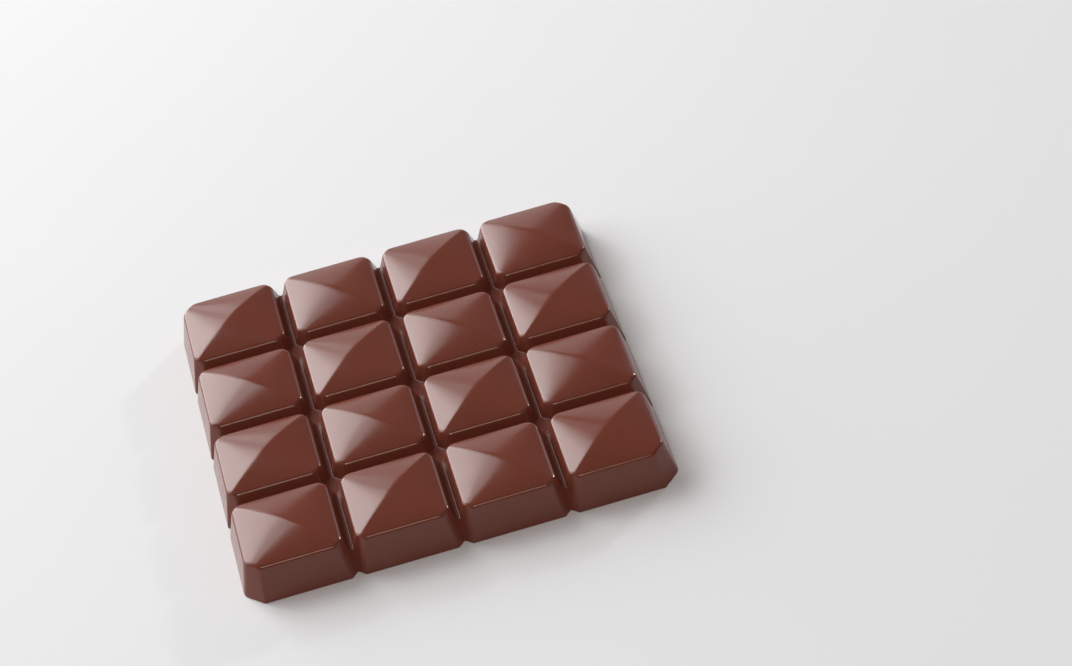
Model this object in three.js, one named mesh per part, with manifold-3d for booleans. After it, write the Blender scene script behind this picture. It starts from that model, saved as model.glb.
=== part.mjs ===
// A square chocolate bar, lying face up with its flat underside on z = 0.
// Millimetres, Z up, origin under the middle of the bar. Rows run along X and the block faces look up.
// The bar is one solid: sixteen drafted blocks standing on one common slab.
import * as THREE from "three";
import { mergeVertices } from "three/addons/utils/BufferGeometryUtils.js";
import Module from "manifold-3d";

// Layout of the blocks
const BLOCKS = 4; // along each side
const PITCH = 22.0; // from one block's middle to the next

// Heights over the underside
const GROOVE_Z = 4.7; // flat bottom of the snapping grooves
const RIM_Z = 8.05; // upper edge of every block's walls
const APEX_Z = 10.15; // middle of every block's ridge

// Plan sizes. Outer sizes are from the middle of the bar, inner ones from the middle of a block.
const OUTER_RIM = 43.3;
const OUTER_BASE = 45.1;
const INNER_RIM = 9.6;
const GROOVE_FLAT = 0.66; // width of the groove's flat bottom

// Upright corners of the blocks, cut off at 45 degrees: leg of the cut at the rim and at the underside
const INNER_CUT = { rim: 1.63, base: 2.77 };
const EDGE_CUT = { rim: 1.63, base: 2.6 };
const BAR_CORNER_CUT = { rim: 2.7, base: 3.7 };
const CUT_ROUND = 0.45; // rounding where a cut meets a wall
const BAR_CORNER_ROUND = 1.3;
const ARC_STEPS = 3;

// Rim bevel: a narrow face at 45 degrees between wall and top
const BEVEL_BELOW_RIM = 0.26;
const BEVEL_TOP_Z = APEX_Z + 1.0;

// Block tops
const RIDGE_STEPS = 16; // straight pieces in the arched ridge
const SKIRT = 4.0; // the top surface runs on past the rim, so that the walls cut it
const SKIRT_SLOPE = 0.44;

// Roots of the notches round the outline, where a groove runs out through the side
const NOTCH_ROOT = { groove: 41.82, base: 43.79 };

const wasm = await Module();
wasm.setup();

function toManifold(geometry) {
  const merged = mergeVertices(geometry, 1e-5);
  return new wasm.Manifold(
    new wasm.Mesh({
      numProp: 3,
      vertProperties: merged.attributes.position.array,
      triVerts: new Uint32Array(merged.index.array),
    }),
  );
}

function geometryOf(points, faces) {
  const geometry = new THREE.BufferGeometry();
  geometry.setAttribute(
    "position",
    new THREE.Float32BufferAttribute(points.flatMap((p) => [p.x, p.y, p.z]), 3),
  );
  geometry.setIndex(faces.flat());
  return geometry;
}

// Closed solid through rings of equal length, listed from the bottom up, each running counter-clockwise.
function loft(rings) {
  const n = rings[0].length;
  const points = rings.flat();
  const faces = [];
  for (let level = 0; level + 1 < rings.length; level++)
    for (let i = 0; i < n; i++) {
      const a = level * n + i;
      const b = level * n + ((i + 1) % n);
      faces.push([a, b, b + n], [a, b + n, a + n]);
    }
  const top = (rings.length - 1) * n;
  for (let i = 1; i + 1 < n; i++) {
    faces.push([0, i + 1, i]);
    faces.push([top, top + i, top + i + 1]);
  }
  return geometryOf(points, faces);
}

const lerp = (low, high, t) => low + (high - low) * t;

// Slope of the inner walls, from the groove's flat up to the rim.
const INNER_LEAN =
  (PITCH / 2 - GROOVE_FLAT / 2 - INNER_RIM) / (RIM_Z - GROOVE_Z);

// Plan limits of one block at a height: outer sides follow the outer draft, inner sides the groove's.
function limits(column, row, z) {
  const outer = lerp(OUTER_BASE, OUTER_RIM, z / RIM_Z);
  const inner = INNER_RIM + (RIM_Z - z) * INNER_LEAN;
  const last = BLOCKS - 1;
  const x = (column - last / 2) * PITCH;
  const y = (row - last / 2) * PITCH;
  return {
    left: column === 0 ? -outer : x - inner,
    right: column === last ? outer : x + inner,
    front: row === 0 ? -outer : y - inner,
    back: row === last ? outer : y + inner,
  };
}

// The cut of one upright corner, by how many of its two sides lie on the bar's outline.
function cornerCut(column, row, sx, sy) {
  const onX = column === (sx < 0 ? 0 : BLOCKS - 1);
  const onY = row === (sy < 0 ? 0 : BLOCKS - 1);
  if (onX && onY) return { cut: BAR_CORNER_CUT, round: BAR_CORNER_ROUND };
  return { cut: onX || onY ? EDGE_CUT : INNER_CUT, round: CUT_ROUND };
}

// Rounds one vertex of an outline with an arc that touches both sides.
function roundVertex(before, at, after, radius) {
  const u = before.clone().sub(at).normalize();
  const v = after.clone().sub(at).normalize();
  const half = u.angleTo(v) / 2;
  const reach = Math.min(
    radius / Math.tan(half),
    before.distanceTo(at) * 0.45,
    after.distanceTo(at) * 0.45,
  );
  const start = at.clone().addScaledVector(u, reach);
  const end = at.clone().addScaledVector(v, reach);
  const curve = new THREE.QuadraticBezierCurve(start, at, end);
  return curve.getPoints(ARC_STEPS);
}

// Outline of one block at a height, drawn in by an inset: a rectangle with its four corners cut and rounded.
function outline(column, row, z, inset = 0) {
  const at = limits(column, row, Math.min(z, RIM_Z));
  const corners = [
    [at.left + inset, at.front + inset, -1, -1],
    [at.right - inset, at.front + inset, 1, -1],
    [at.right - inset, at.back - inset, 1, 1],
    [at.left + inset, at.back - inset, -1, 1],
  ];
  const plan = [];
  const rounds = [];
  for (const [x, y, sx, sy] of corners) {
    const { cut, round } = cornerCut(column, row, sx, sy);
    const leg = lerp(cut.base, cut.rim, Math.min(z, RIM_Z) / RIM_Z);
    const alongX = new THREE.Vector2(x - sx * leg, y);
    const alongY = new THREE.Vector2(x, y - sy * leg);
    plan.push(...(sx * sy > 0 ? [alongY, alongX] : [alongX, alongY]));
    rounds.push(round, round);
  }
  const ordered = orderCorners(plan);
  const ring = [];
  ordered.forEach((p, i) => {
    const before = ordered[(i + ordered.length - 1) % ordered.length];
    const after = ordered[(i + 1) % ordered.length];
    ring.push(...roundVertex(before, p, after, rounds[i]));
  });
  return ring.map((p) => new THREE.Vector3(p.x, p.y, z));
}

// Puts the eight cut points in counter-clockwise order round their middle.
function orderCorners(plan) {
  const middle = plan
    .reduce((sum, p) => sum.add(p), new THREE.Vector2())
    .divideScalar(plan.length);
  const angle = (p) => Math.atan2(p.y - middle.y, p.x - middle.x);
  return [...plan].sort((a, b) => angle(a) - angle(b));
}

// Walls of one block with the rim bevel above them. The bevel's cone runs on over the apex.
function walls(column, row) {
  const bevelZ = RIM_Z - BEVEL_BELOW_RIM;
  return toManifold(
    loft([
      outline(column, row, 0),
      outline(column, row, bevelZ),
      outline(column, row, BEVEL_TOP_Z, BEVEL_TOP_Z - bevelZ),
    ]),
  );
}

// Top of one block: an arched ridge from corner to corner, and from each of the other two corners
// a curved face that fans out to the ridge. Neighbouring blocks turn the ridge by 90 degrees.
function top(column, row) {
  const at = limits(column, row, RIM_Z);
  const rising = (column + row) % 2 === 1; // ridge from front left to back right
  const frontLeft = [at.left, at.front];
  const frontRight = [at.right, at.front];
  const backRight = [at.right, at.back];
  const backLeft = [at.left, at.back];
  const [from, to, rightCorner, leftCorner] = rising
    ? [frontLeft, backRight, frontRight, backLeft]
    : [frontRight, backLeft, backRight, frontLeft];
  const points = [];
  const add = (x, y, z) => points.push(new THREE.Vector3(x, y, z)) - 1;
  const ridge = [];
  for (let i = 0; i <= RIDGE_STEPS; i++) {
    const t = i / RIDGE_STEPS;
    const arch = 1 - (2 * t - 1) ** 2;
    ridge.push(
      add(
        lerp(from[0], to[0], t),
        lerp(from[1], to[1], t),
        lerp(RIM_Z, APEX_Z, arch),
      ),
    );
  }
  const right = add(...rightCorner, RIM_Z);
  const left = add(...leftCorner, RIM_Z);
  const faces = [];
  for (let i = 0; i < RIDGE_STEPS; i++) {
    faces.push([ridge[i], ridge[i + 1], left]);
    faces.push([ridge[i + 1], ridge[i], right]);
  }
  // The skirt runs outwards and down from the rim, then straight down past the underside.
  const rim = [ridge[0], right, ridge[RIDGE_STEPS], left];
  const middle = new THREE.Vector2(
    (at.left + at.right) / 2,
    (at.front + at.back) / 2,
  );
  const spread = (index, z) => {
    const p = points[index];
    return add(
      p.x + Math.sign(p.x - middle.x) * SKIRT,
      p.y + Math.sign(p.y - middle.y) * SKIRT,
      z,
    );
  };
  const skirt = rim.map((i) => spread(i, RIM_Z - SKIRT * SKIRT_SLOPE));
  const foot = rim.map((i) => spread(i, -1));
  for (let i = 0; i < 4; i++) {
    const j = (i + 1) % 4;
    faces.push([rim[i], skirt[i], skirt[j]], [rim[i], skirt[j], rim[j]]);
    faces.push([skirt[i], foot[i], foot[j]], [skirt[i], foot[j], skirt[j]]);
  }
  faces.push([foot[0], foot[2], foot[1]], [foot[0], foot[3], foot[2]]);
  return toManifold(geometryOf(points, faces));
}

// Common slab: fills the grooves up to their flat bottom and blunts the roots of the outline's notches.
function slab() {
  const square = (half, z) => [
    new THREE.Vector3(-half, -half, z),
    new THREE.Vector3(half, -half, z),
    new THREE.Vector3(half, half, z),
    new THREE.Vector3(-half, half, z),
  ];
  const inCorner = (OUTER_BASE + OUTER_RIM) / 2 - 3;
  const across = (halfX, halfY, z) =>
    square(1, z).map((p) => new THREE.Vector3(p.x * halfX, p.y * halfY, z));
  const alongX = toManifold(
    loft([
      across(NOTCH_ROOT.base, inCorner, 0),
      across(NOTCH_ROOT.groove, inCorner, GROOVE_Z),
    ]),
  );
  const alongY = toManifold(
    loft([
      across(inCorner, NOTCH_ROOT.base, 0),
      across(inCorner, NOTCH_ROOT.groove, GROOVE_Z),
    ]),
  );
  return alongX.add(alongY);
}

let bar = slab();
for (let row = 0; row < BLOCKS; row++)
  for (let column = 0; column < BLOCKS; column++)
    bar = bar.add(walls(column, row).intersect(top(column, row)));

function toGeometry(solid) {
  const mesh = solid.getMesh();
  const geometry = new THREE.BufferGeometry();
  const positions = new Float32Array(mesh.numVert * 3);
  for (let i = 0; i < mesh.numVert; i++)
    positions.set(
      mesh.vertProperties.subarray(i * mesh.numProp, i * mesh.numProp + 3),
      i * 3,
    );
  geometry.setAttribute("position", new THREE.BufferAttribute(positions, 3));
  geometry.setIndex(new THREE.BufferAttribute(mesh.triVerts, 1));
  geometry.computeVertexNormals();
  return geometry;
}

const milkChocolate = new THREE.MeshStandardMaterial({
  color: 0x6b3a2c,
  roughness: 0.35,
  metalness: 0,
});

const chocolateBar = new THREE.Mesh(toGeometry(bar), milkChocolate);
chocolateBar.name = "chocolate_bar";

const group = new THREE.Group();
group.add(chocolateBar);
export default group;
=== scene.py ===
import math

import bmesh
import bpy
from mathutils import Matrix, Vector, noise


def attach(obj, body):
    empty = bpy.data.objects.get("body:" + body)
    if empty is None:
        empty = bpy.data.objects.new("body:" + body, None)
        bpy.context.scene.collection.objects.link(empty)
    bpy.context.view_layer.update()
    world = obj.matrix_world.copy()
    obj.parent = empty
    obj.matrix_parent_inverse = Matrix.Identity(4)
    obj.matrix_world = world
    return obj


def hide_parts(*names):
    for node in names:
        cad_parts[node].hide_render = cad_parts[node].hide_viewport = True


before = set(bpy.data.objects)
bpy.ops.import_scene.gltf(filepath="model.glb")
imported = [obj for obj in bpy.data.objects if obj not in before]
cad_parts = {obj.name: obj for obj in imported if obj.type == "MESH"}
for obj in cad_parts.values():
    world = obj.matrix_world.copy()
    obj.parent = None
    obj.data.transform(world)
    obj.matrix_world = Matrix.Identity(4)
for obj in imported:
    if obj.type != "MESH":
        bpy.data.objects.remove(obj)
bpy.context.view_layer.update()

# The mould's sizes are in millimetres. The finished mesh is scaled to metres.
MM = 0.001
BLOCKS = 4  # along each side
LAST = BLOCKS - 1
PITCH = 22.0
OUTER_MIDDLE = LAST / 2 * PITCH  # from the bar's middle to the middle of an outer block
GROOVE_Z = 4.7
RIM_Z = 8.05
APEX_Z = 10.15
OUTER_RIM = 43.3
OUTER_BASE = 45.1
INNER_RIM = 9.6
GROOVE_FLAT = 0.66
INNER_LEAN = (PITCH / 2 - GROOVE_FLAT / 2 - INNER_RIM) / (RIM_Z - GROOVE_Z)

# Upright corners cut off at 45 degrees: leg of the cut at the underside and at the rim
INNER_CUT = (2.77, 1.63)
EDGE_CUT = (2.6, 1.63)
BAR_CORNER_CUT = (3.7, 2.7)
# Rounding where a cut meets a wall: crisp low down, and softer just under the rim
CUT_ROUND_LOW = 0.35
CUT_ROUND_RIM = 1.9
CUT_ROUND_POWER = 4  # how late the rounding grows on the way up
BAR_SIDE_ROUND = 2.4  # on the bar's left and right walls, beside its four corners
NOTCH_ROOT = (43.79, 41.82)  # at the underside and at the groove's floor

# Roundings of the moulded edges: reach on each side of the edge, and a flat support loop beside it
RIM_ROUND = 0.48
RIM_STEPS = 4
SUPPORT = 0.16
CREST_ROUND = 0.25
FOLD_SHARE = 0.25  # of a faint fold across the ridge's middle in the arch of the top
FOLD_SOFTNESS = (0.08, 0.5)  # at the ridge and at the corner beside it
FOOT_ROUND = 0.08
FOOT_SUPPORT = 0.04
FOOT_STEPS = 2
BACK_ROUND = 0.3
BACK_STEPS = 2
OUTER_STEP_Z = 3.2  # a loop round the outline below the groove's floor
ROOT_STEP = 0.4  # first steps along a groove's middle, from the root of a notch
CROSSING_STEPS = (0.7, 2.4)  # first and last step along a groove's middle, from a crossing

# Vertices round one block
ARC_STEPS = 4
SIDE_SPOTS = 17
SIDE_MARGIN = 0.01  # of a side, before its first spot: keeps the wall flat up to the rounded cut
SPOTS_PER_CORNER = 2 * (ARC_STEPS + 1) + 1 + SIDE_SPOTS
RING = 4 * SPOTS_PER_CORNER
RIM_TRIES = 4  # the rim's height settles in so many rounds
CROWN_CUTS = 11  # between ridge and rim, on each side
CROWN_GATHER = 1.8  # over 1 gathers the cuts at the ridge
RUNG_BEND = 0.5  # bends the rungs near the ridge's ends inwards, where the cut corner is straight
DISC_RADIUS = 1.0
DISC_SLACK = 0.001

# The poured back: cuts along each side, and its waves
BACK_CUTS = 44
WAVE_HEIGHT = 0.11
LONG_WAVE, LONG_SHARE = 11.0, 0.5
SHORT_WAVE, SHORT_SHARE = 4.0, 0.2
SHORT_WAVE_PLACE = Vector((7, 3, 1))

WELD = 0.002
SAME_PLANE = 1e-4
CREASE = 38  # degrees, from which an edge stays sharp

# Stage, in metres: half the floor's side, and the distance from the bar to every light
FLOOR_REACH = 4.0
PANEL_DISTANCE = 1.4

# The camera that fits the photograph: place in millimetres, angles in degrees
CAMERA_PLACE = Vector((-18.874, -532.723, 461.898))
CAMERA_HEADING = -4.892
CAMERA_DOWN = 40.2
CAMERA_ROLL = -12.815
CAMERA_LENS = 113.46
CAMERA_SENSOR = 36.0

# Directions of travel into and out of each corner, counter-clockwise from the front left
CORNERS = tuple(
    (Vector(into), Vector(out))
    for into, out in (((0, -1), (1, 0)), ((1, 0), (0, 1)), ((0, 1), (-1, 0)), ((-1, 0), (0, -1)))
)


def mix(a, b, t):
    return a + (b - a) * t


def curve(start, bend, end, t):
    """Point of a quadratic curve that touches both sides of a corner."""
    return start * (1 - t) ** 2 + bend * 2 * t * (1 - t) + end * t ** 2


def outward(travel):
    return Vector((travel.y, -travel.x))


def ring_spots():
    """Spots of a block's outline: at each corner the two roundings of the cut, then a side."""
    arc = [i / ARC_STEPS for i in range(ARC_STEPS + 1)]
    side = [mix(SIDE_MARGIN, 1 - SIDE_MARGIN, i / (SIDE_SPOTS - 1)) for i in range(SIDE_SPOTS)]
    spots = []
    for corner in range(4):
        spots += [(corner, "arc_in", f) for f in arc]
        spots += [(corner, "middle", 0.5)]
        spots += [(corner, "arc_out", f) for f in arc]
        spots += [(corner, "side", f) for f in side]
    return spots


SPOTS = ring_spots()


class Block:
    """One raised block of the bar. Columns count from the left and rows from the front."""

    def __init__(self, column, row):
        self.middle = Vector((column - LAST / 2, row - LAST / 2)) * PITCH
        self.at_edge = {
            (-1, 0): column == 0, (1, 0): column == LAST,
            (0, -1): row == 0, (0, 1): row == LAST,
        }
        self.rising = (column + row) % 2 == 1
        self.ridge_corner = 0 if self.rising else 1

    def is_outer(self, travel):
        side = outward(travel)
        return self.at_edge[(round(side.x), round(side.y))]

    def reach(self, travel, z):
        """Distance from the block's middle to one of its walls at a height."""
        if self.is_outer(travel):
            return mix(OUTER_BASE, OUTER_RIM, z / RIM_Z) - OUTER_MIDDLE
        return INNER_RIM + (RIM_Z - z) * INNER_LEAN

    def cut(self, corner):
        outer = [self.is_outer(travel) for travel in CORNERS[corner]]
        return BAR_CORNER_CUT if all(outer) else EDGE_CUT if any(outer) else INNER_CUT

    def rounding(self, corner, travel, z):
        """Radius where the cut of a corner meets one of its two walls."""
        if self.cut(corner) == BAR_CORNER_CUT and travel.y:
            return BAR_SIDE_ROUND
        return mix(CUT_ROUND_LOW, CUT_ROUND_RIM, min(1.0, z / RIM_Z) ** CUT_ROUND_POWER)

    def plan(self, spot, z, inset=0.0):
        """Place of a spot of the outline at a height, drawn in by an inset."""
        corner, part, f = spot
        if part == "side":
            start = self.plan((corner, "arc_out", 1.0), z, inset)
            end = self.plan(((corner + 1) % 4, "arc_in", 0.0), z, inset)
            return start.lerp(end, f)
        into, out = CORNERS[corner]
        base, rim = self.cut(corner)
        leg = mix(base, rim, z / RIM_Z) - inset * (2 - math.sqrt(2))
        tip = self.middle.copy()
        for travel in (into, out):
            tip += outward(travel) * (self.reach(travel, z) - inset)
        first, second = tip - into * leg, tip + out * leg
        across = (into + out).normalized()
        touch = self.rounding(corner, into if part == "arc_in" else out, z) * math.tan(math.pi / 8)
        if part == "arc_in":
            return curve(first - into * touch, first, first + across * touch, f)
        if part == "arc_out":
            return curve(second - across * touch, second, second + out * touch, f)
        return (first + second) / 2

    def rim_box(self):
        """Middle of the rectangle that the four walls draw at the rim, and half its sizes."""
        left, front = (-self.reach(travel, RIM_Z) for travel in CORNERS[0])
        right, back = self.reach(CORNERS[1][1], RIM_Z), self.reach(CORNERS[2][1], RIM_Z)
        middle = self.middle + Vector((left + right, front + back)) / 2
        return middle, Vector((right - left, back - front)) / 2

    def along_and_across(self, point):
        """Place on the top, along and across the ridge: 0 in the middle, 1 at the rim's corners."""
        middle, half = self.rim_box()
        u, v = (point.x - middle.x) / half.x, (point.y - middle.y) / half.y
        return ((u + v) / 2, (v - u) / 2) if self.rising else ((u - v) / 2, (u + v) / 2)

    def top_height(self, point):
        """The arched ridge, and a face that fans out to it from each corner beside it."""
        along, across = self.along_and_across(point)
        crest = CREST_ROUND / (INNER_RIM * math.sqrt(2))
        fan = 1 - math.hypot(across, crest)
        place = along / fan
        soft = mix(*FOLD_SOFTNESS, abs(across))
        fold = (math.hypot(place, soft) - soft) / (math.hypot(1, soft) - soft)
        return RIM_Z + (APEX_Z - RIM_Z) * fan * (1 - mix(place * place, fold, FOLD_SHARE))

    def on_top(self, point):
        return Vector((point.x, point.y, self.top_height(point)))

    def on_wall(self, spot, z, inset=0.0):
        return self.plan(spot, z, inset).to_3d() + Vector((0, 0, z))

    def rim_height(self, spot):
        z = RIM_Z
        for _ in range(RIM_TRIES):
            z = self.top_height(self.plan(spot, z))
        return z

    def foot_width(self, spot):
        """1 where the wall stands on a groove's floor, 0 where it goes on down the outside."""
        corner, part, f = spot
        into, out = (self.is_outer(travel) for travel in CORNERS[corner])
        if part == "side":
            return 0.0 if out else 1.0
        if part == "middle":
            return 0.0 if into or out else 1.0
        own, other, far = (into, out, 1 - f) if part == "arc_in" else (out, into, f)
        return 0.0 if own else far if other else 1.0

    def is_root(self, spot):
        """Whether the spot is the one that lies at the root of a notch in the outline."""
        corner, part, f = spot
        into, out = (self.is_outer(travel) for travel in CORNERS[corner])
        if into == out:
            return False
        return (part, f) == (("arc_out", 0.0) if into else ("arc_in", 1.0))

    def goes_down(self, spot):
        corner, part, f = spot
        into, out = (self.is_outer(travel) for travel in CORNERS[corner])
        owners = {"side": (out,), "middle": (into, out), "arc_in": (into,), "arc_out": (out,)}
        return any(owners[part])

    def root(self, spot, z, inset=0.0):
        """Place at the root of a notch at a height."""
        corner = spot[0]
        deep = mix(*NOTCH_ROOT, z / GROOVE_Z) - OUTER_MIDDLE - inset
        place = self.middle.to_3d() + Vector((0, 0, z))
        for travel in CORNERS[corner]:
            place += outward(travel).to_3d() * (deep if self.is_outer(travel) else PITCH / 2)
        return place

    def groove_line(self, spot):
        """Place on the line along a groove's middle, or on the outside at the same step down."""
        corner, part, f = spot
        if part == "side" and not self.goes_down(spot):
            start = self.groove_line((corner, "arc_out", 1.0))
            end = self.groove_line(((corner + 1) % 4, "arc_in", 0.0))
            return start.lerp(end, f)
        if self.goes_down(spot):
            return self.on_wall(spot, OUTER_STEP_Z)
        into, out = CORNERS[corner]
        own, away = (into, 1 - f) if part == "arc_in" else (out, f)
        if self.is_outer(into) or self.is_outer(out):
            back = -own if part == "arc_in" else own
            return self.root(spot, GROOVE_Z) + back.to_3d() * ROOT_STEP * away
        tip = self.middle.to_3d() + Vector((0, 0, GROOVE_Z))
        for travel in (into, out):
            tip += outward(travel).to_3d() * PITCH / 2
        if part == "middle":
            return tip
        back = -own if part == "arc_in" else own
        return tip + back.to_3d() * mix(*CROSSING_STEPS, away)


def clock(v):
    """Number of a vertex of the disc, counted round its edge."""
    return round(math.atan2(v.co.y, v.co.x) / math.tau * RING) % RING


def draw_crown(bm, block):
    """The top of a block: a disc cut into rungs across the ridge, each vertex then set in its place."""
    disc = bmesh.ops.create_circle(bm, cap_ends=True, segments=RING, radius=DISC_RADIUS)["verts"]
    turn = {clock(v): v for v in disc}
    rungs = []
    for step in range(1, RING // 2):
        rungs += bmesh.ops.connect_verts(bm, verts=[turn[step], turn[RING - step]])["edges"]
    bmesh.ops.subdivide_edges(bm, edges=rungs, cuts=2 * CROWN_CUTS + 1, use_grid_fill=True)
    bmesh.ops.triangulate(bm, faces=[f for f in bm.faces if len(f.verts) > 4])
    start = block.ridge_corner * SPOTS_PER_CORNER + ARC_STEPS + 1
    inset = RIM_ROUND + SUPPORT
    edge = [block.plan(spot, block.rim_height(spot), inset) for spot in SPOTS]
    drawn = [v for v in bm.verts if v.co.z == 0.0 and v.co.length < DISC_RADIUS + DISC_SLACK]
    middle = block.rim_box()[0]
    turn = {clock(v): v for v in drawn if v.co.length > DISC_RADIUS - DISC_SLACK / 10}
    ring = [turn[(i - start) % RING] for i in range(RING)]
    for v in set(drawn) - set(ring):
        step = round(math.acos(v.co.x) / math.tau * RING)
        aside = v.co.y / math.sin(step / RING * math.tau)
        left, right = edge[(start + step) % RING], edge[(start - step) % RING]
        a, b = block.along_and_across(left)[1], block.along_and_across(right)[1]
        from_end = abs(a - b) / 2
        ridge = left.lerp(right, a / (a - b))
        ridge = ridge.lerp(middle, RUNG_BEND * from_end * (1 - from_end))
        v.co = block.on_top(ridge.lerp(left if aside > 0 else right, abs(aside) ** CROWN_GATHER))
    for v, place in zip(ring, edge):
        v.co = block.on_top(place)
    return ring


def draw_down(bm, ring, places, closed=True):
    """Extrudes a row of vertices along its edges and sets the new row in its places."""
    pairs = list(zip(ring, ring[1:] + ring[:1])) if closed else list(zip(ring, ring[1:]))
    edges = [bm.edges.get(pair) for pair in pairs]
    made = bmesh.ops.extrude_edge_only(bm, edges=edges)["geom"]
    fresh = {v for v in made if isinstance(v, bmesh.types.BMVert)}
    row = [next(e.other_vert(v) for e in v.link_edges if e.other_vert(v) in fresh) for v in ring]
    for v, place in zip(row, places):
        v.co = place
    return row


def draw_walls(bm, block, ring):
    """From the crown down: rounded rim, drafted wall, hollow foot, and half of the groove's floor."""
    tops, bends, sides = [], [], []
    for spot in SPOTS:
        z = block.rim_height(spot)
        tops.append(block.on_top(block.plan(spot, z, RIM_ROUND)))
        bends.append(block.on_wall(spot, z))
        sides.append(block.on_wall(spot, z - RIM_ROUND))
    for i in range(RIM_STEPS + 1):
        t = i / RIM_STEPS
        ring = draw_down(bm, ring, [curve(a, b, c, t) for a, b, c in zip(tops, bends, sides)])
    ring = draw_down(bm, ring, [block.on_wall(spot, p.z - SUPPORT) for spot, p in zip(SPOTS, sides)])
    ring = draw_down(bm, ring, [block.on_wall(spot, GROOVE_Z + FOOT_ROUND + SUPPORT) for spot in SPOTS])
    for i in range(FOOT_STEPS + 1):
        t = i / FOOT_STEPS
        places = []
        for spot in SPOTS:
            wide = FOOT_ROUND * block.foot_width(spot)
            start = block.on_wall(spot, GROOVE_Z + FOOT_ROUND)
            bend = block.on_wall(spot, GROOVE_Z)
            end = block.on_wall(spot, GROOVE_Z, -wide)
            places.append(curve(start, bend, end, t) if wide else start.lerp(bend, t))
        ring = draw_down(bm, ring, places)
    reach = -(FOOT_ROUND + FOOT_SUPPORT)
    flat = [block.on_wall(spot, GROOVE_Z, reach * block.foot_width(spot)) for spot in SPOTS]
    ring = draw_down(bm, ring, flat)
    places = [block.root(s, GROOVE_Z) if block.is_root(s) else block.groove_line(s) for s in SPOTS]
    return draw_down(bm, ring, places)


def draw_outside(bm, block, ring):
    """Carries the bar's outside and its notches down to the underside."""
    down = [block.goes_down(spot) for spot in SPOTS]
    if not any(down):
        return
    first = next(i for i in range(RING) if block.is_root(SPOTS[i]) and down[(i + 1) % RING])
    run = [(first + i) % RING for i in range(RING)]
    last = next(n for n, i in enumerate(run) if n and block.is_root(SPOTS[i]))
    run = run[: last + 1]
    row = [ring[i] for i in run]

    def level(z, inset=0.0):
        spots = [SPOTS[i] for i in run]
        return [(block.root if block.is_root(s) else block.on_wall)(s, z, inset) for s in spots]

    row = draw_down(bm, row, level(BACK_ROUND + SUPPORT), closed=False)
    wall, tip, back = level(BACK_ROUND), level(0.0), level(0.0, BACK_ROUND)
    for i in range(BACK_STEPS + 1):
        t = i / BACK_STEPS
        places = [curve(a, b, c, t) for a, b, c in zip(wall, tip, back)]
        row = draw_down(bm, row, places, closed=False)


def pour_back(bm):
    """Closes the underside and gives the poured back its faint waves."""
    rim = [e for e in bm.edges if e.is_boundary]
    faces = set(bmesh.ops.contextual_create(bm, geom=rim)["faces"])
    for axis in (0, 1):
        normal = Vector((1 - axis, axis, 0))
        for i in range(1, BACK_CUTS):
            offset = mix(-OUTER_BASE, OUTER_BASE, i / BACK_CUTS)
            edges, verts = {e for f in faces for e in f.edges}, {v for f in faces for v in f.verts}
            geom = list(faces) + list(edges) + list(verts)
            cut = bmesh.ops.bisect_plane(
                bm, geom=geom, dist=SAME_PLANE, plane_co=normal * offset, plane_no=normal
            )
            faces = {g for g in cut["geom"] if isinstance(g, bmesh.types.BMFace)}
    inner = {v for f in faces for v in f.verts if all(g in faces for g in v.link_faces)}
    for v in inner:
        wave = noise.noise(v.co / LONG_WAVE) * LONG_SHARE
        wave += noise.noise(v.co / SHORT_WAVE + SHORT_WAVE_PLACE) * SHORT_SHARE
        v.co.z = WAVE_HEIGHT * max(0.0, min(1.0, 0.5 + wave))


def mould_bar():
    """The whole bar as one closed mesh: sixteen blocks welded along the grooves, on a poured back."""
    bm = bmesh.new()
    for row in range(BLOCKS):
        for column in range(BLOCKS):
            block = Block(column, row)
            ring = draw_crown(bm, block)
            ring = draw_walls(bm, block, ring)
            draw_outside(bm, block, ring)
    bmesh.ops.remove_doubles(bm, verts=bm.verts, dist=WELD)
    pour_back(bm)
    bmesh.ops.recalc_face_normals(bm, faces=bm.faces)
    for face in bm.faces:
        face.smooth = True
    for edge in bm.edges:
        edge.smooth = edge.calc_face_angle(0.0) < math.radians(CREASE)
    bmesh.ops.scale(bm, vec=(MM, MM, MM), verts=bm.verts)
    mesh = bpy.data.meshes.new("moulded_bar")
    bm.to_mesh(mesh)
    bm.free()
    bar = bpy.data.objects.new("moulded_bar", mesh)
    bpy.context.scene.collection.objects.link(bar)
    return bar


def colour(code):
    """sRGB hex to linear RGBA."""
    channels = [int(code[i : i + 2], 16) / 255 for i in (1, 3, 5)]
    linear = [c / 12.92 if c <= 0.04045 else ((c + 0.055) / 1.055) ** 2.4 for c in channels]
    return (*linear, 1.0)


def node(tree, kind, settings=None, links=None):
    """Adds a node: settings are its options and input values, links feed its inputs from outputs."""
    made = tree.nodes.new(kind)
    for name, value in (settings or {}).items():
        if isinstance(name, str) and hasattr(made, name):
            setattr(made, name, value)
        else:
            made.inputs[name].default_value = value
    for name, source in (links or {}).items():
        tree.links.new(source, made.inputs[name])
    return made


# Sockets of a node that mixes two colours
MIX_SHARE, MIX_FIRST, MIX_SECOND, MIX_RESULT = 0, 6, 7, 2


def empty_material(name):
    material = bpy.data.materials.new(name)
    material.use_nodes = True
    material.node_tree.nodes.clear()
    return material, material.node_tree


def per_mm(size):
    """Scale of a pattern whose features measure that many millimetres."""
    return 1.0 / (size * MM)


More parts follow.
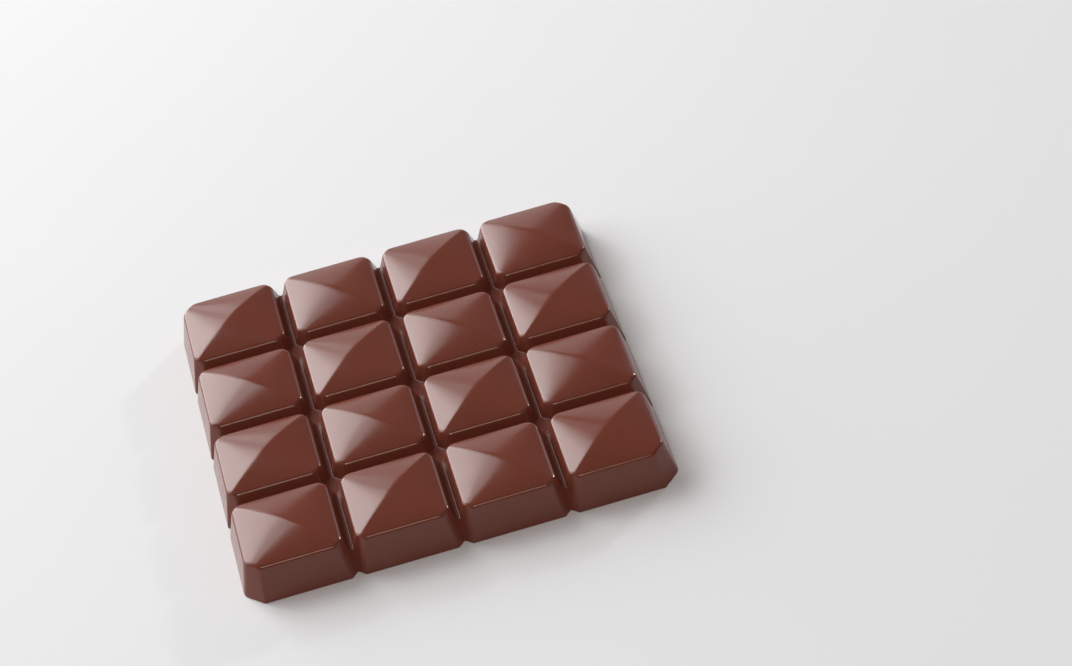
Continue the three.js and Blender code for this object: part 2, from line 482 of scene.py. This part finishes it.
def tempered_milk_chocolate():
    """Milk chocolate, tempered and moulded: a mid brown with a satin gloss taken from the mould.

    The eye sees soft reflections on the facets, faint cloudy spots of lighter and darker brown,
    and a duller poured back.
    """
    material, tree = empty_material("tempered_milk_chocolate")
    place = node(tree, "ShaderNodeTexCoord").outputs["Object"]
    clouds = node(
        tree, "ShaderNodeTexNoise",
        {"Scale": per_mm(7.0), "Detail": 3.0, "Roughness": 0.55},
        {"Vector": place},
    )
    tint = node(
        tree, "ShaderNodeMix",
        {"data_type": "RGBA", MIX_FIRST: colour("#6c3629"), MIX_SECOND: colour("#733b2d")},
        {MIX_SHARE: clouds.outputs["Fac"]},
    )
    dulling = node(
        tree, "ShaderNodeTexNoise", {"Scale": per_mm(4.0), "Detail": 4.0}, {"Vector": place}
    )
    gloss = node(
        tree, "ShaderNodeMapRange",
        {"From Min": 0.3, "From Max": 0.7, "To Min": 0.16, "To Max": 0.21},
        {"Value": dulling.outputs["Fac"]},
    )
    height = node(tree, "ShaderNodeSeparateXYZ", links={"Vector": place})
    back = node(
        tree, "ShaderNodeMapRange",
        {"From Min": 0.2 * MM, "From Max": 0.5 * MM, "To Min": 0.26, "To Max": 0.0},
        {"Value": height.outputs["Z"]},
    )
    rough = node(
        tree, "ShaderNodeMath",
        {"operation": "ADD"},
        {0: gloss.outputs["Result"], 1: back.outputs["Result"]},
    )
    grain = node(tree, "ShaderNodeTexNoise", {"Scale": per_mm(0.9), "Detail": 3.0}, {"Vector": place})
    relief = node(
        tree, "ShaderNodeBump",
        {"Strength": 0.12, "Distance": 0.01 * MM},
        {"Height": grain.outputs["Fac"]},
    )
    shader = node(
        tree, "ShaderNodeBsdfPrincipled",
        {
            "IOR": 1.44, "Metallic": 0.0,
            "Subsurface Weight": 0.15, "Subsurface Scale": 0.5 * MM,
            "Subsurface Radius": (1.0, 0.35, 0.15),
        },
        {
            "Base Color": tint.outputs[MIX_RESULT],
            "Roughness": rough.outputs["Value"],
            "Normal": relief.outputs["Normal"],
        },
    )
    node(tree, "ShaderNodeOutputMaterial", links={"Surface": shader.outputs["BSDF"]})
    return material


def matt_card():
    """Matt white card with a faint cool tone, coated: it throws soft light back at the bar."""
    material, tree = empty_material("matt_card")
    place = node(tree, "ShaderNodeTexCoord").outputs["Object"]
    fibres = node(
        tree, "ShaderNodeTexNoise", {"Scale": per_mm(60.0), "Detail": 2.0}, {"Vector": place}
    )
    tint = node(
        tree, "ShaderNodeMix",
        {"data_type": "RGBA", MIX_FIRST: colour("#e6e8ea"), MIX_SECOND: colour("#e4e6e8")},
        {MIX_SHARE: fibres.outputs["Fac"]},
    )
    shader = node(
        tree, "ShaderNodeBsdfPrincipled",
        {"Roughness": 0.9, "IOR": 1.3},
        {"Base Color": tint.outputs[MIX_RESULT]},
    )
    node(tree, "ShaderNodeOutputMaterial", links={"Surface": shader.outputs["BSDF"]})
    return material


def lay_floor():
    bm = bmesh.new()
    bmesh.ops.create_grid(bm, x_segments=2, y_segments=2, size=FLOOR_REACH)
    mesh = bpy.data.meshes.new("floor")
    bm.to_mesh(mesh)
    bm.free()
    floor = bpy.data.objects.new("floor", mesh)
    floor.data.materials.append(matt_card())
    bpy.context.scene.collection.objects.link(floor)


def set_camera():
    """Long lens from the front, looking down and a little to the right, tilted to its left."""
    data = bpy.data.cameras.new("camera")
    data.sensor_width = CAMERA_SENSOR
    data.lens = CAMERA_LENS
    camera = bpy.data.objects.new("camera", data)
    heading, down, roll = (math.radians(a) for a in (CAMERA_HEADING, CAMERA_DOWN, CAMERA_ROLL))
    turn = Matrix.Rotation(heading, 4, "Z") @ Matrix.Rotation(math.pi / 2 - down, 4, "X")
    place = Matrix.Translation(CAMERA_PLACE * MM)
    camera.matrix_world = place @ turn @ Matrix.Rotation(roll, 4, "Z")
    bpy.context.scene.collection.objects.link(camera)
    bpy.context.scene.camera = camera


def hang_panel(name, azimuth, elevation, width, height, brightness, tone="#ffffff"):
    """A soft box aimed at the bar, placed and sized in degrees as the bar sees it.

    Azimuth runs to the right from straight behind the bar.
    Brightness 1 is that of a fully lit white card.
    """
    sizes = [2 * PANEL_DISTANCE * math.tan(math.radians(angle / 2)) for angle in (width, height)]
    data = bpy.data.lights.new(name, "AREA")
    data.shape = "RECTANGLE"
    data.size, data.size_y = sizes
    data.energy = brightness * math.pi * sizes[0] * sizes[1]
    data.color = colour(tone)[:3]
    panel = bpy.data.objects.new(name, data)
    a, e = math.radians(azimuth), math.radians(elevation)
    towards = Vector((math.sin(a) * math.cos(e), math.cos(a) * math.cos(e), math.sin(e)))
    panel.location = towards * PANEL_DISTANCE
    panel.rotation_euler = towards.to_track_quat("Z", "Y").to_euler()
    bpy.context.scene.collection.objects.link(panel)


def set_light():
    """A pale studio: soft boxes from behind on the left, weak fill, and small lamps for the glints."""
    scene = bpy.context.scene
    scene.view_settings.view_transform = "Standard"
    world = bpy.data.worlds.new("studio")
    world.use_nodes = True
    tree = world.node_tree
    tree.nodes.clear()
    glow = node(tree, "ShaderNodeBackground", {"Color": colour("#f4f4f6"), "Strength": 0.15})
    node(tree, "ShaderNodeOutputWorld", links={"Surface": glow.outputs["Background"]})
    scene.world = world
    hang_panel("soft_box_left", -29.2, 33.8, 27, 57, 3.7)
    hang_panel("soft_box_core", -33, 27, 25, 43, 3.0)
    hang_panel("soft_box_side", -66, 27, 39, 44, 3.0)
    hang_panel("soft_box_spill", -8.5, 25, 8, 19, 1.75)
    hang_panel("card_behind", -1, 13.5, 48, 25, 0.74)
    hang_panel("window_right", 42, 17, 20, 20, 1.0, "#eae6ff")
    hang_panel("lamp_right", 50, 20, 3, 3, 180)
    hang_panel("lamp_front_left", -167, 47, 4, 4, 85)
    hang_panel("lamp_front", 178, 48, 11.4, 11.4, 9.4, "#ffd6b8")


bar = mould_bar()
bar.data.materials.append(tempered_milk_chocolate())
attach(bar, "root")
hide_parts("chocolate_bar")
lay_floor()
set_camera()
set_light()
